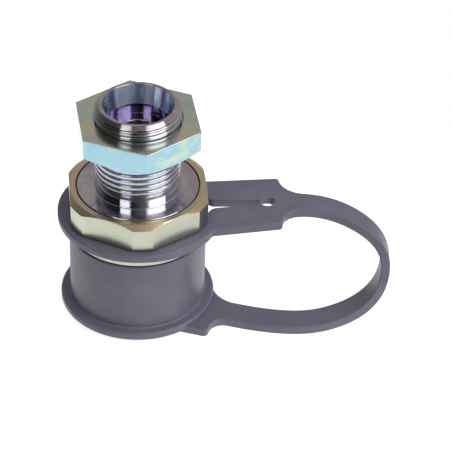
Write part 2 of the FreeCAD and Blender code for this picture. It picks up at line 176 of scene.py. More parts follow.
class CapSizes(bpy.types.PropertyGroup):
    """Soft dust cap with its strap, tab and ring."""
    base_diameter: size("Base", "Closed end that it stands on", 32.0)
    plate_thickness: size("Plate thickness", "Base plate, strap and tab", 2.2)
    flange_diameter: size("Flange", "Flange round the closed end", 36.9)
    flange_bottom: size("Flange bottom", "Underside of the flange", 1.3)
    flange_top: size("Flange top", "Top of the flange", 3.2)
    cup_diameter: size("Cup", "Outside of the cup", 32.4)
    cup_bore: size("Cup bore", "Inside of the cup", 28.0)
    cup_floor: size("Cup floor", "Height of the floor inside", 3.6)
    rim_height: size("Rim height", "Top of the cup", 21.4)
    ring_diameter: size("Ring", "Outside of the ring", 37.8)
    ring_bore: size("Ring bore", "Inside of the ring", 29.8)
    ring_thickness: size("Ring thickness", "Thickness of the ring at its bore", 1.95)
    ring_sag: size("Ring sag", "How much lower the ring lies away from the tab", 0.28)
    ring_bulge: size("Ring bulge", "How far the ring is drawn out at the tab's near side", 0.6)
    edge_radius: size("Edge radius", "Rounding of the moulding's edges", 0.4)
    tab_angle: angle("Tab angle", "Direction of the tab", 7.0)
    tab_far_width: size("Tab far width", "From the tab's middle line to its far edge", 9.45)
    tab_near_width: size("Tab near width", "To its near edge at the ring", 9.7)
    tab_near_end: size("Tab near end", "To its near edge at the tab's end", 8.35)
    tab_far_reach: size("Tab far reach", "From the axis to the tab's end, far side", 34.5)
    tab_near_reach: size("Tab near reach", "From the axis to the tab's end, near side", 33.5)
    tab_corner: size("Tab corner", "Corner radius at the tab's end", 0.7)
    near_root: size("Near root", "Fillet between ring and tab, near side", 1.0)
    far_root: size("Far root", "Fillet between ring and tab, far side", 0.5)
    tab_far_shoulder: size("Tab far shoulder", "Concave shoulder from tab to strap, far side", 6.2)
    tab_near_shoulder: size("Tab near shoulder", "Concave shoulder from tab to strap, near side", 4.4)
    hole_diameter: size("Hole", "Round hole at the slit's end", 3.4)
    hole_reach: size("Hole reach", "From the axis to the hole", 30.8)
    hole_offset: size("Hole offset", "Hole's middle beside the tab's middle line", 0.35)
    slit_mouth: size("Slit mouth", "Width of the slit at its mouth", 2.9)
    slit_end: size("Slit end", "Width of the slit at the hole", 1.6)
    slit_offset: size("Slit offset", "Slit's middle beside the tab's middle line", 0.2)
    slit_corner: size("Slit corner", "Rounding of the slit's mouth", 2.4)
    slit_reach: size("Slit reach", "From the axis to the middle of the mouth's rounding", 18.7)
    slit_flare: angle("Slit flare", "Where the mouth ends in the ring's bore", 22.0)
    strap_width: size("Strap width", "Width of the strap", 6.7)
    base_angle: angle("Base angle", "Direction in which the strap leaves the base", -14.3)
    base_edge: size("Base edge", "Straight near edge, from the axis", 10.2)
    base_reach: size("Base reach", "From the axis to the near shoulder", 20.5)
    base_corner: size("Base corner", "Corner radius of the base plate", 1.2)
    near_shoulder: size("Near shoulder", "Concave shoulder on the near side", 3.6)
    far_shoulder: size("Far shoulder", "Concave shoulder on the far side", 7.6)
    strap_offset: size("Strap offset", "Strap's middle beside the base's middle", -1.43)
    strap_run: size("Strap run", "How far the strap runs straight on from the base", 14.1)
    strap_lead: size("Strap lead", "How far the strap runs straight on from the tab", 7.1)
    strap_tab_offset: size("Strap offset at the tab", "Strap's middle beside the tab's middle line", -0.43)
    strap_tab_reach: size("Strap reach at the tab", "From the axis to the strap's end in the tab", 38.2)


class Finishes(bpy.types.PropertyGroup):
    """Colours that a user would change."""
    zinc_cyan: colour("Zinc, cyan", "Blue passivated zinc", "#93B8C3")
    zinc_cream: colour("Zinc, cream", "Greenish cream film", "#B4C5B2")
    zinc_clear: colour("Zinc, clear", "Clear film", "#A6A89B")
    zinc_pale: colour("Zinc, pale", "Pale film", "#B1B4A1")
    zinc_grey: colour("Zinc, grey", "Pale blue grey film", "#C9D3E1")
    # Painted shading: colour of the body's level faces, for how they look under the room's light
    painted_level_straw: colour("Zinc, straw", "Straw film", "#D8BA96")
    zinc_pink: colour("Zinc, pink", "Pink film", "#DDBECB")
    zinc_violet: colour("Zinc, violet", "Blue violet film", "#A6B5DC")
    zinc_lilac: colour("Zinc, lilac", "Pale lilac film", "#C3CAEA")
    # Painted shade: the socket's dark wall under the cone's lower edge
    painted_shade_navy: colour("Socket, navy", "Deep blue film", "#3A4C78")
    painted_shade_violet: colour("Socket, violet", "Deep violet film", "#8373A6")
    # Painted shading: colours of the level faces, for how they look under the room's light
    painted_level_green: colour("Level faces, green", "Dull greenish grey", "#B8C3BB")
    painted_level_cream: colour("Level faces, cream", "Dull cream", "#CFC7AC")
    painted_level_tan: colour("Level faces, tan", "Dull tan", "#CBB896")
    painted_level_lilac: colour("Level faces, lilac", "Dull lilac grey", "#AD9AA2")
    painted_level_grey: colour("Level faces, grey", "Dull grey", "#BBB6B1")
    soft_grey: colour("Soft grey", "Moulded cap", "#696776")


class StageSettings(bpy.types.PropertyGroup):
    """Camera, lamps and floor."""
    floor_radius: size("Floor radius", "Round floor under the coupling", 110.0)
    lamp_distance: size("Lamp distance", "Lamps to the point that the camera looks at", 900.0)
    elevation: angle("Elevation", "Camera above the horizon", 37.3)
    roll: angle("Roll", "Camera's roll", 2.1)
    distance: size("Distance", "Camera to the point it looks at", 464.6)
    target: bpy.props.FloatVectorProperty(
        name="Target", description="Point that the camera looks at",
        default=(20.92 * MM, -7.6 * MM, 28.0 * MM), subtype="XYZ", unit="LENGTH", precision=5)
    lens: bpy.props.FloatProperty(
        name="Lens", description="Focal length on a 36 mm sensor, in millimetres", default=159.3)
    floor: colour("Floor", "Pale floor", "#DADADA")


def outline_arc(centre, radius, start, end, steps):
    """Points of an arc in a plane, angles in radians."""
    turns = [start + (end - start) * i / steps for i in range(steps + 1)]
    return [Vector((centre[0] + radius * math.cos(a), centre[1] + radius * math.sin(a))) for a in turns]


def rounded(corners, steps=3):
    """Closed outline through (across, up, radius) corners, each one rounded as far as its sides allow."""
    points = []
    for i, (across, up, radius) in enumerate(corners):
        here = Vector((across, up))
        to_last = Vector(corners[i - 1][:2]) - here
        to_next = Vector(corners[(i + 1) % len(corners)][:2]) - here
        room = 0.45 * min(to_last.length, to_next.length)
        a, b = to_last.normalized(), to_next.normalized()
        sweep = math.pi - a.angle(b, math.pi)
        if radius <= 0:
            points.append(here)
            continue
        if sweep < 0.01:
            points += [here] * (steps + 1)
            continue
        half = (math.pi - sweep) / 2
        reach = min(radius / math.tan(half), room)
        fitted = reach * math.tan(half)
        centre = here + (a + b).normalized() * (fitted / math.sin(half))
        first = here + a * reach - centre
        last = here + b * reach - centre
        for k in range(steps + 1):
            w = k / steps
            mixed = first * math.sin((1 - w) * sweep) + last * math.sin(w * sweep)
            points.append(centre + mixed / math.sin(sweep))
    return points


def skin(mesh, rings, closed):
    """Quads between closed rings of equally many points, and from the last ring to the first if closed."""
    rows = [[mesh.verts.new(point) for point in ring] for ring in rings]
    pairs = list(zip(rows, rows[1:]))
    if closed:
        pairs.append((rows[-1], rows[0]))
    count = len(rows[0])
    for low, high in pairs:
        for i in range(count):
            j = (i + 1) % count
            mesh.faces.new((low[i], low[j], high[j], high[i]))
    return rows


def capped_skin(mesh, rings):
    """Skin with a face over its first and its last ring."""
    rows = skin(mesh, rings, closed=False)
    mesh.faces.new(rows[0])
    mesh.faces.new(rows[-1])


def turned(mesh, outline_at, angles, closed=True):
    """Surface turned about the axis. The outline of (radius, height) points may change with the angle."""
    outlines = [outline_at(a) for a in angles]
    rings = []
    for k in range(len(outlines[0])):
        rings.append([
            Vector((o[k][0] * math.cos(a), o[k][0] * math.sin(a), o[k][1]))
            for a, o in zip(angles, outlines)])
    skin(mesh, rings, closed)


def round_angles(count):
    return [math.tau * i / count for i in range(count)]


def add_object(name, data):
    """Puts a mesh, lamp or camera in the scene."""
    made = bpy.data.objects.new(name, data)
    bpy.context.scene.collection.objects.link(made)
    return made


def piece(name, mesh, material, body, node, sharp=35.0):
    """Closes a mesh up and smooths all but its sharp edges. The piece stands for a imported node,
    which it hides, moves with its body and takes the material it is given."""
    bmesh.ops.remove_doubles(mesh, verts=mesh.verts, dist=0.0005 * MM)
    bmesh.ops.dissolve_degenerate(mesh, edges=mesh.edges, dist=0.0002 * MM)
    bmesh.ops.recalc_face_normals(mesh, faces=mesh.faces)
    data = bpy.data.meshes.new(name)
    mesh.to_mesh(data)
    mesh.free()
    data.shade_smooth()
    data.set_sharp_from_angle(angle=math.radians(sharp))
    data.materials.append(material)
    made = add_object(name, data)
    made.modifiers.new("weighted normals", "WEIGHTED_NORMAL").keep_sharp = True
    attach(made, body)
    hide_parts(node)
    return made


def put(tree, kind, sockets=None, stops=None, **settings):
    """Adds one node. Sockets go by name or index, each with a value or the socket it is linked to."""
    added = tree.nodes.new("ShaderNode" + kind)
    for key, value in settings.items():
        setattr(added, key, value)
    for key, value in (sockets or {}).items():
        if isinstance(value, bpy.types.NodeSocket):
            tree.links.new(value, added.inputs[key])
        else:
            added.inputs[key].default_value = value
    for i, (position, shade) in enumerate(stops or ()):
        elements = added.color_ramp.elements
        element = elements[i] if i < 2 else elements.new(position)
        element.position = position
        element.color = (*shade, 1)
    return added


def new_material(name):
    """Material with a bare Principled shader. Returns it, its tree and the shader."""
    material = bpy.data.materials.new(name)
    material.use_nodes = True
    tree = material.node_tree
    return material, tree, tree.nodes["Principled BSDF"]


def passivated_zinc(name, film, top, roughness, patch_mm, satin_from=None):
    """Steel, turned or milled, zinc plated and passivated: a bright metal whose film drifts
    between pale cyan, green, straw, pink and violet in patches some millimetres wide. The faces
    that lie level take the duller top colours instead: painted shading for how they look under
    the room's light. On a turned piece, feed marks draw the highlights out along the axis, and it
    is satin above the height satin_from."""
    material, tree, shader = new_material(name)
    place = put(tree, "TexCoord").outputs["Object"]
    patches = put(tree, "TexNoise", {
        "Vector": place, "Scale": 1 / (patch_mm * MM), "Detail": 3.0, "Roughness": 0.55, "Distortion": 0.6})
    tinted = put(tree, "ValToRGB", {"Fac": patches.outputs["Fac"]}, stops=film)
    # Level faces take the top colours: painted shading for how they look under the room's light
    painted_level_tint = put(tree, "ValToRGB", {"Fac": patches.outputs["Fac"]}, stops=top)
    facing = put(tree, "SeparateXYZ", {
        "Vector": put(tree, "NewGeometry").outputs["Normal"]})
    level = put(tree, "MapRange", {
        "Value": facing.outputs["Z"], "From Min": 0.55, "From Max": 0.7})
    base = put(tree, "Mix", {
        0: level.outputs["Result"], 6: tinted.outputs["Color"], 7: painted_level_tint.outputs["Color"]}, data_type="RGBA")
    tree.links.new(base.outputs[2], shader.inputs["Base Color"])
    # Grain of the plating, 0.15 mm across, drawn three times as coarse so that it shows
    grain = put(tree, "TexNoise", {
        "Vector": place, "Scale": 1 / (0.45 * MM), "Detail": 4.0, "Roughness": 0.6})
    gloss = put(tree, "MapRange", {
        "Value": grain.outputs["Fac"], "To Min": roughness - 0.05, "To Max": roughness + 0.07})
    roughened = gloss.outputs["Result"]
    if satin_from is not None:
        # The satin comes in over 0.3 mm of height and adds 0.1 to the roughness
        spot = put(tree, "SeparateXYZ", {"Vector": place})
        satin = put(tree, "MapRange", {
            "Value": spot.outputs["Z"], "From Min": satin_from, "From Max": satin_from + 0.3 * MM,
            "To Max": 0.1})
        roughened = put(tree, "Math", {
            0: roughened, 1: satin.outputs["Result"]}, operation="ADD").outputs["Value"]
        around = put(tree, "Tangent", direction_type="RADIAL", axis="Z")
        tree.links.new(around.outputs["Tangent"], shader.inputs["Tangent"])
        shader.inputs["Anisotropic"].default_value = 1.0
        shader.inputs["Anisotropic Rotation"].default_value = 0.25
    tree.links.new(roughened, shader.inputs["Roughness"])
    # Feed marks of the lathe, some 0.1 mm apart on the real one, drawn 1.26 mm apart so that they show.
    # The wave repeats every tau / 20 at scale 1
    marks = put(tree, "TexWave", {
        "Vector": place, "Scale": math.tau / 20 / (1.26 * MM), "Distortion": 2.0, "Detail": 2.0,
        "Detail Scale": 0.5}, wave_type="RINGS", rings_direction="Z", wave_profile="SIN")
    relief = put(tree, "Math", {0: grain.outputs["Fac"], 1: marks.outputs["Fac"]}, operation="ADD")
    bump = put(tree, "Bump", {
        "Strength": 0.07, "Distance": 0.01 * MM, "Height": relief.outputs["Value"]})
    tree.links.new(bump.outputs["Normal"], shader.inputs["Normal"])
    shader.inputs["Metallic"].default_value = 1.0
    return material


def fine_surface(tree, shader, grain, smooth, rough, strength, depth_mm):
    """Lets a grain vary the roughness between two values and dimple the surface."""
    gloss = put(tree, "MapRange", {
        "Value": grain.outputs["Fac"], "To Min": smooth, "To Max": rough})
    tree.links.new(gloss.outputs["Result"], shader.inputs["Roughness"])
    bump = put(tree, "Bump", {
        "Strength": strength, "Distance": depth_mm * MM, "Height": grain.outputs["Fac"]})
    tree.links.new(bump.outputs["Normal"], shader.inputs["Normal"])


def soft_vinyl(name, shade):
    """Soft vinyl, injection moulded: a satin grey skin, very slightly mottled, with a faint grain."""
    material, tree, shader = new_material(name)
    place = put(tree, "TexCoord").outputs["Object"]
    mottle = put(tree, "TexNoise", {
        "Vector": place, "Scale": 1 / (9 * MM), "Detail": 5.0, "Roughness": 0.6})
    base = put(tree, "ValToRGB", {"Fac": mottle.outputs["Fac"]}, stops=[
        (0.35, tuple(v * 0.9 for v in shade)), (0.65, tuple(min(1.0, v * 1.1) for v in shade))])
    tree.links.new(base.outputs["Color"], shader.inputs["Base Color"])
    # Grain of the mould, 0.1 mm, drawn at 0.3 mm so that it shows
    grain = put(tree, "TexNoise", {
        "Vector": place, "Scale": 1 / (0.3 * MM), "Detail": 3.0, "Roughness": 0.5})
    fine_surface(tree, shader, grain, 0.38, 0.5, 0.08, 0.02)
    shader.inputs["IOR"].default_value = 1.52
    return material


def plain_stock(name, code, roughness, grain_mm, ior=None):
    """Turned, drawn or moulded stock for the inner pieces: one colour with a fine grain. It is a
    metal unless it is given an index of refraction."""
    material, tree, shader = new_material(name)
    shade = linear(code)
    grain = put(tree, "TexNoise", {
        "Vector": put(tree, "TexCoord").outputs["Object"], "Scale": 1 / (grain_mm * MM),
        "Detail": 4.0, "Roughness": 0.6})
    base = put(tree, "ValToRGB", {"Fac": grain.outputs["Fac"]}, stops=[
        (0.3, tuple(v * 0.88 for v in shade)), (0.7, tuple(min(1.0, v * 1.08) for v in shade))])
    tree.links.new(base.outputs["Color"], shader.inputs["Base Color"])
    fine_surface(tree, shader, grain, roughness - 0.05, roughness + 0.08, 0.1, 0.01)
    if ior is None:
        shader.inputs["Metallic"].default_value = 1.0
    else:
        shader.inputs["IOR"].default_value = ior
    return material


def thread_form(share, pitch, crest_r):
    """Radius of the thread at a share of its pitch, 0 in the middle of the crest. Its crests are
    broad and rounded, and its valleys narrow."""
    crown, valley = 0.1, 0.45
    away = 2 * abs((share + 0.5) % 1.0 - 0.5)
    return crest_r - pitch * (crown * away ** 2 + valley * away ** 8)


def threaded_sleeve(mesh, sizes, low, high, angles):
    """Thread cut between two heights. The rows climb with the thread, which keeps its form crisp."""
    pitch = sizes.thread_pitch
    crest_r = sizes.thread_diameter / 2
    end_r = sizes.thread_end_diameter / 2
    # Rows stand closer together towards the narrow valley at half the pitch
    shares = [0.0, 0.1, 0.2, 0.3, 0.36, 0.41, 0.45, 0.48, 0.5, 0.52, 0.55, 0.59, 0.64, 0.7, 0.8, 0.9]
    turns = int((high - low) / pitch) + 3
    rows = []
    for turn in range(turns):
        for share in shares:
            start = low + (turn - 1 + share) * pitch
            row = []
            for a in angles:
                z = start + pitch * a / math.tau
                inside = min(max(z, low), high)
                limit = end_r + min(inside - low, high - inside)
                r = min(thread_form(share, pitch, crest_r), limit)
                row.append(mesh.verts.new((r * math.cos(a), r * math.sin(a), inside)))
            rows.append(row)
    # Each turn's last column joins the first column one turn up
    last = len(rows) - 1
    for k in range(last):
        for i in range(len(angles)):
            j, up = (i + 1, 0) if i + 1 < len(angles) else (0, len(shares))
            low_row, high_row = rows[min(k + up, last)], rows[min(k + up + 1, last)]
            corners = (rows[k][i], low_row[j], high_row[j], rows[k + 1][i])
            if len(set(corners)) == 4:
                mesh.faces.new(corners)


def hexagon_points(across_flats, corner_angle, corner_radius, flat_steps, corner_steps):
    """Angle and radius of each point round a hexagon whose corners are slightly rounded."""
    sixth = math.radians(60)
    centre_r = across_flats / math.sqrt(3) - corner_radius / math.cos(sixth / 2)
    points = []
    for i in range(6):
        middle = corner_angle + sixth * i
        centre = (centre_r * math.cos(middle), centre_r * math.sin(middle))
        arc = outline_arc(centre, corner_radius, middle - sixth / 2, middle + sixth / 2, corner_steps)
        next_arc = Matrix.Rotation(sixth, 2) @ arc[0]
        points += arc + [arc[-1].lerp(next_arc, k / flat_steps) for k in range(1, flat_steps)]
    return sorted((math.atan2(p.y, p.x) % math.tau, p.length) for p in points)


class COUPLING_OT_tail(bpy.types.Operator):
    """Threaded bulkhead tail with its cone mouth, neck and disc"""
    bl_idname = "coupling.tail"
    bl_label = "Threaded tail"

    def execute(self, context):
        tail = context.scene.coupling_tail
        tints = context.scene.coupling_finishes
        angles = round_angles(160)
        edge = tail.edge_radius
        thread_low = PORT_TOP - tail.thread_length
        end_r = tail.thread_end_diameter / 2
        mouth_r = tail.mouth_diameter / 2
        neck_r = tail.thread_diameter / 2
        neck_top = DISC_TOP + tail.neck_length
        disc_low = DISC_TOP - tail.disc_thickness
        screw_r = tail.screw_diameter / 2
        screw_low = disc_low - tail.screw_length
        pilot_r = tail.pilot_diameter / 2
        gland_low = PILOT_BOTTOM + tail.gland_offset
        gland_high = gland_low + tail.gland_width
        gland_r = pilot_r - tail.gland_depth
        cone_low = PORT_TOP - tail.cone_depth
        socket_low = cone_low - tail.socket_depth
        socket_r = mouth_r - tail.cone_depth * math.tan(tail.cone_half_angle)
        bore_r = tail.bore_diameter / 2
        flare_r = tail.pilot_flare / 2
        # The outline stays open along the thread, which closes it
        outline = rounded([
            (end_r, PORT_TOP, 0), (mouth_r, PORT_TOP, 1.5 * edge), (socket_r, cone_low, edge),
            (socket_r, socket_low, edge), (bore_r, socket_low, 2 * edge),
            (bore_r, PILOT_BOTTOM + flare_r - bore_r, edge), (flare_r, PILOT_BOTTOM, edge),
            (pilot_r, PILOT_BOTTOM, edge), (pilot_r, gland_low, edge), (gland_r, gland_low, edge),
            (gland_r, gland_high, edge), (pilot_r, gland_high, edge), (pilot_r, screw_low, edge),
            (screw_r, screw_low, edge), (screw_r, disc_low, edge), (DISC_R, disc_low, edge),
            (DISC_R, DISC_TOP, 2.5 * edge), (neck_r, DISC_TOP, 3 * edge), (neck_r, neck_top, 2 * edge),
            (end_r, neck_top + tail.neck_chamfer, 2 * edge), (end_r, thread_low, 0)])
        mesh = bmesh.new()
        turned(mesh, lambda a: outline, angles, closed=False)
        threaded_sleeve(mesh, tail, thread_low, PORT_TOP, angles)
        # Faces of the socket's wall take the second, dark material: painted shade under the cone's lower
        # edge
        for face in mesh.faces:
            middle = face.calc_center_median()
            if middle.xy.length < socket_r + edge and socket_low - edge < middle.z < cone_low:
                face.material_index = 1
        film = [
            (0.3, tints.zinc_lilac), (0.45, tints.zinc_grey), (0.58, tints.zinc_grey),
            (0.7, tints.zinc_pink)]
        top = [(0.4, tints.painted_level_lilac), (0.6, tints.painted_level_grey)]
        material = passivated_zinc(
            "zinc plated steel, turned, blue passivated", film, top, 0.1, 9.0, neck_top)
        made = piece("threaded_tail", mesh, material, "coupling", "adapter")
        # The socket's wall is painted deep blue and violet: painted shade under the cone's lower edge
        film = [(0.35, tints.painted_shade_navy), (0.65, tints.painted_shade_violet)]
        made.data.materials.append(passivated_zinc(
            "zinc plated steel, bored, painted shade", film, top, 0.12, 5.0))
        return {"FINISHED"}


class COUPLING_OT_nut(bpy.types.Operator):
    """Thin lock nut, sharp on top and chamfered under its corners"""
    bl_idname = "coupling.nut"
    bl_label = "Lock nut"

    def execute(self, context):
        nut = context.scene.coupling_nut
        tints = context.scene.coupling_finishes
        low, high = NUT_LOW[2], NUT_HIGH[2]
        edge = nut.edge_radius
        chamfer = nut.bore_chamfer
        bore_r = nut.bore_diameter / 2
        rim_r = bore_r + chamfer
        face_r = nut.across_flats / 2 - nut.face_inset
        slope = nut.corner_drop / (nut.across_flats / math.sqrt(3) - face_r)
        radius_at = dict(hexagon_points(
            nut.across_flats, nut.corner_angle, 2 * edge, flat_steps=10, corner_steps=4))

        def outline(a):
            r = radius_at[a]
            return rounded([
                (bore_r, low + chamfer, 0), (rim_r, low, edge / 2), (face_r, low, edge / 2),
                (r, low + (r - face_r) * slope, edge), (r, high, edge), (rim_r, high, edge / 2),
                (bore_r, high - chamfer, 0)])

        mesh = bmesh.new()
        turned(mesh, outline, list(radius_at))
        film = [
            (0.36, tints.zinc_violet), (0.46, tints.zinc_cyan), (0.55, tints.zinc_cyan),
            (0.66, tints.zinc_cream)]
        top = [(0.4, tints.painted_level_green), (0.6, tints.painted_level_cream)]
        material = passivated_zinc("zinc plated steel, milled, blue passivated", film, top, 0.2, 9.0)
        piece("hexagon_lock_nut", mesh, material, "nut", "lock_nut", sharp=12.0)
        return {"FINISHED"}


class COUPLING_OT_body(bpy.types.Operator):
    """Hexagonal body with the groove, collar and nose that the cap covers"""
    bl_idname = "coupling.body"
    bl_label = "Coupling body"

    def execute(self, context):
        body = context.scene.coupling_body
        tail = context.scene.coupling_tail
        tints = context.scene.coupling_finishes
        edge = body.edge_radius
        hexagon_low = DISC_TOP - body.hexagon_height
        groove_low = hexagon_low - body.groove_height
        groove_r = body.groove_diameter / 2
        collar_low = groove_low - body.collar_height
        collar_r = body.collar_diameter / 2
        turned_r = body.corner_diameter / 2
        top_r = turned_r - body.chamfer_run
        slope = body.chamfer_drop / body.chamfer_run
        seam_r = DISC_R + body.seam
        disc_low = DISC_TOP - tail.disc_thickness
        screw_low = disc_low - tail.screw_length - 2 * FIT_GAP
        screw_r = tail.screw_diameter / 2 + FIT_GAP
        pilot_r = tail.pilot_diameter / 2 + FIT_GAP
        chamber_r = body.chamber / 2
        chamber_high = PILOT_BOTTOM - 4 * FIT_GAP
        front_r = body.front_bore / 2
        seat_low = NOSE_FRONT + body.front_bore_length
        seat_high = seat_low + body.seat_drop
        ball_low = body.ball_groove_height - body.ball_groove_width / 2
        ball_high = body.ball_groove_height + body.ball_groove_width / 2
        ball_r = body.ball_groove_diameter / 2
        flank = body.ball_groove_flank
        nose_r = body.nose_diameter / 2
        chamfer = body.nose_chamfer
        flat_r = body.across_flats / 2
        # Each flat and each turned corner, with extra rows close to where they meet
        turn_off = math.acos(flat_r / turned_r)
        crisp = 0.08 * MM / turned_r
        angles = []
        for i in range(6):
            middle = body.corner_angle + math.radians(60 * i + 30)
            angles += [middle + turn_off * (2 * k / 16 - 1) for k in range(17)]
            angles += [middle - turn_off + crisp, middle + turn_off - crisp]
            rest = math.radians(60) - 2 * turn_off
            angles += [middle + turn_off + rest * k / 6 for k in range(1, 6)]
            angles += [middle + turn_off + crisp, middle + turn_off + rest - crisp]
        angles = sorted(a % math.tau for a in angles)

        def outline(a):
            away = (a - body.corner_angle) % math.radians(60) - math.radians(30)
            r = min(flat_r / math.cos(away), turned_r)
            return rounded([
                (front_r, seat_low, 0), (front_r + body.seat_drop, seat_high, 0),
                (chamber_r, seat_high, 0), (chamber_r, chamber_high, 0), (pilot_r, chamber_high, 0),
                (pilot_r, screw_low, 0), (screw_r, screw_low, 0), (screw_r, disc_low, 0),
                (seam_r, disc_low, 0), (seam_r, DISC_TOP, edge), (top_r, DISC_TOP, edge),
                (r, DISC_TOP - (r - top_r) * slope, edge), (r, hexagon_low, 2 * edge),
                (groove_r, hexagon_low, edge), (groove_r, groove_low, edge),
                (collar_r, groove_low, 2 * edge), (collar_r, collar_low, 2 * edge),
                (nose_r, collar_low, 0), (nose_r, ball_high + flank, edge), (ball_r, ball_high, edge),
                (ball_r, ball_low, edge), (nose_r, ball_low - flank, edge),
                (nose_r, NOSE_FRONT + chamfer, edge), (nose_r - chamfer, NOSE_FRONT, edge),
                (front_r, NOSE_FRONT, edge)])

        mesh = bmesh.new()
        turned(mesh, outline, angles)
        film = [(0.34, tints.zinc_clear), (0.6, tints.zinc_pale), (0.76, tints.zinc_cream)]
        top = [(0.4, tints.painted_level_straw), (0.6, tints.painted_level_tan)]
        material = passivated_zinc("zinc plated steel, milled, clear passivated", film, top, 0.28, 16.0)
        piece("hexagon_body", mesh, material, "coupling", "coupling_body")
        return {"FINISHED"}


class COUPLING_OT_spring(bpy.types.Operator):
    """Valve spring, which rides on the valve. The real spring shortens as the valve opens; this coil keeps
    one length
    """
    bl_idname = "coupling.spring"
    bl_label = "Valve spring"

    def execute(self, context):
        spring = context.scene.coupling_spring
        wire_r = spring.wire / 2
        coil_r = SPRING_HIGH[0] - wire_r
        low, high = SPRING_LOW[2] + wire_r, SPRING_HIGH[2] - wire_r
        section = [(wire_r * math.cos(a), wire_r * math.sin(a)) for a in round_angles(14)]
        steps = int(40 * spring.turns)
        rings = []
        for i in range(steps + 1):
            turn = math.tau * spring.turns * i / steps
            z = low + (high - low) * i / steps
            rings.append([
                Vector(((coil_r + x) * math.cos(turn), (coil_r + x) * math.sin(turn), z + y))
                for x, y in section])
        mesh = bmesh.new()
        capped_skin(mesh, rings)
        material = plain_stock("spring steel, drawn", "#85858A", 0.3, 0.3)
        made = piece("coil_spring", mesh, material, "poppet", "valve_spring")
        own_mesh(made)
        return {"FINISHED"}


class COUPLING_OT_valve(bpy.types.Operator):
    """Finishes for the valve, its guide and seals, whose solids stay as they are"""
    bl_idname = "coupling.valve"
    bl_label = "Valve and seals"

    def execute(self, context):
        turned_steel = plain_stock("bright steel, turned", "#B4B4B8", 0.25, 0.4)
        rubber = plain_stock("nitrile rubber, moulded", "#1D1D1E", 0.55, 0.3, 1.5)
        stock = {
            "valve_poppet": turned_steel,
            "poppet_tip": turned_steel,
            "poppet_seal": rubber,
            "adapter_o_ring": rubber,
            "guide_ring": plain_stock("spring steel, bent", "#85858A", 0.3, 0.3),
            "valve_guide": plain_stock("brass, turned", "#D8B36A", 0.28, 0.4),
            "adapter_backup_ring": plain_stock("fluoropolymer, cut from tube", "#E6E5DF", 0.4, 0.5, 1.38)}
        for node, material in stock.items():
            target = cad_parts[node]
            target.data.materials.clear()
            target.data.materials.append(material)
        return {"FINISHED"}


def loop_area(loop):
    return sum(a.x * b.y - b.x * a.y for a, b in zip(loop, loop[1:] + loop[:1])) / 2


def inset(loop, distance):
    """Loop moved to its left by a distance, mitred at its corners, with long mitres cut short."""
    shortest = 0.35
    moved = []
    for i, here in enumerate(loop):
        before = (here - loop[i - 1]).normalized()
        after = (loop[(i + 1) % len(loop)] - here).normalized()
        left = Vector((-before.y - after.y, before.x + after.x))
        left = left / max(left.length, 1e-9)
        stretch = max(shortest, left.dot(Vector((-before.y, before.x))))
        moved.append(here + left * (distance / stretch))
    return moved


def slab(mesh, outside, holes, low_at, high_at, edge, turn, steps=4):
    """Flat moulding with rounded edges between an outside loop and its holes, turned about the axis."""
    loops = [outside if loop_area(outside) > 0 else outside[::-1]]
    loops += [hole if loop_area(hole) < 0 else hole[::-1] for hole in holes]
    rotate = Matrix.Rotation(turn, 3, "Z")
    tops, bottoms = [], []
    for loop in loops:
        rings = []
        quarter = [math.pi / 2 * k / steps for k in range(steps + 1)]
        for height_at, way, turns in ((low_at, 1, quarter[::-1]), (high_at, -1, quarter)):
            for a in turns:
                moved = inset(loop, edge * (1 - math.cos(a)))
                rise = way * edge * (1 - math.sin(a))
                rings.append([
                    rotate @ Vector((m.x, m.y, height_at(p) + rise)) for m, p in zip(moved, loop)])
        rows = skin(mesh, rings, closed=False)
        bottoms.append(rows[0])
        tops.append(rows[-1])
    for side in (bottoms, tops):
        flat = [vertex for row in side for vertex in row]
        plain = [[Vector((v.co.x, v.co.y, 0)) for v in row] for row in side]
        for corners in tessellate_polygon(plain):
            mesh.faces.new([flat[c] for c in corners])


def eased(share):
    """Share kept between 0 and 1, with a soft start and end."""
    share = min(1.0, max(0.0, share))
    return share * share * (3 - 2 * share)


def plate_end(reach, side, corner, shoulder, strap_side, steps=14):
    """End of a flat plate on its near side: the rounded corner, then the concave shoulder to the strap."""
    quarter = math.pi / 2
    points = outline_arc((reach - corner, corner - side), corner, -quarter, -CORNER_LEAN, 5)
    return points + outline_arc(
        (reach + shoulder, strap_side - shoulder), shoulder, SHOULDER_END, quarter, steps)


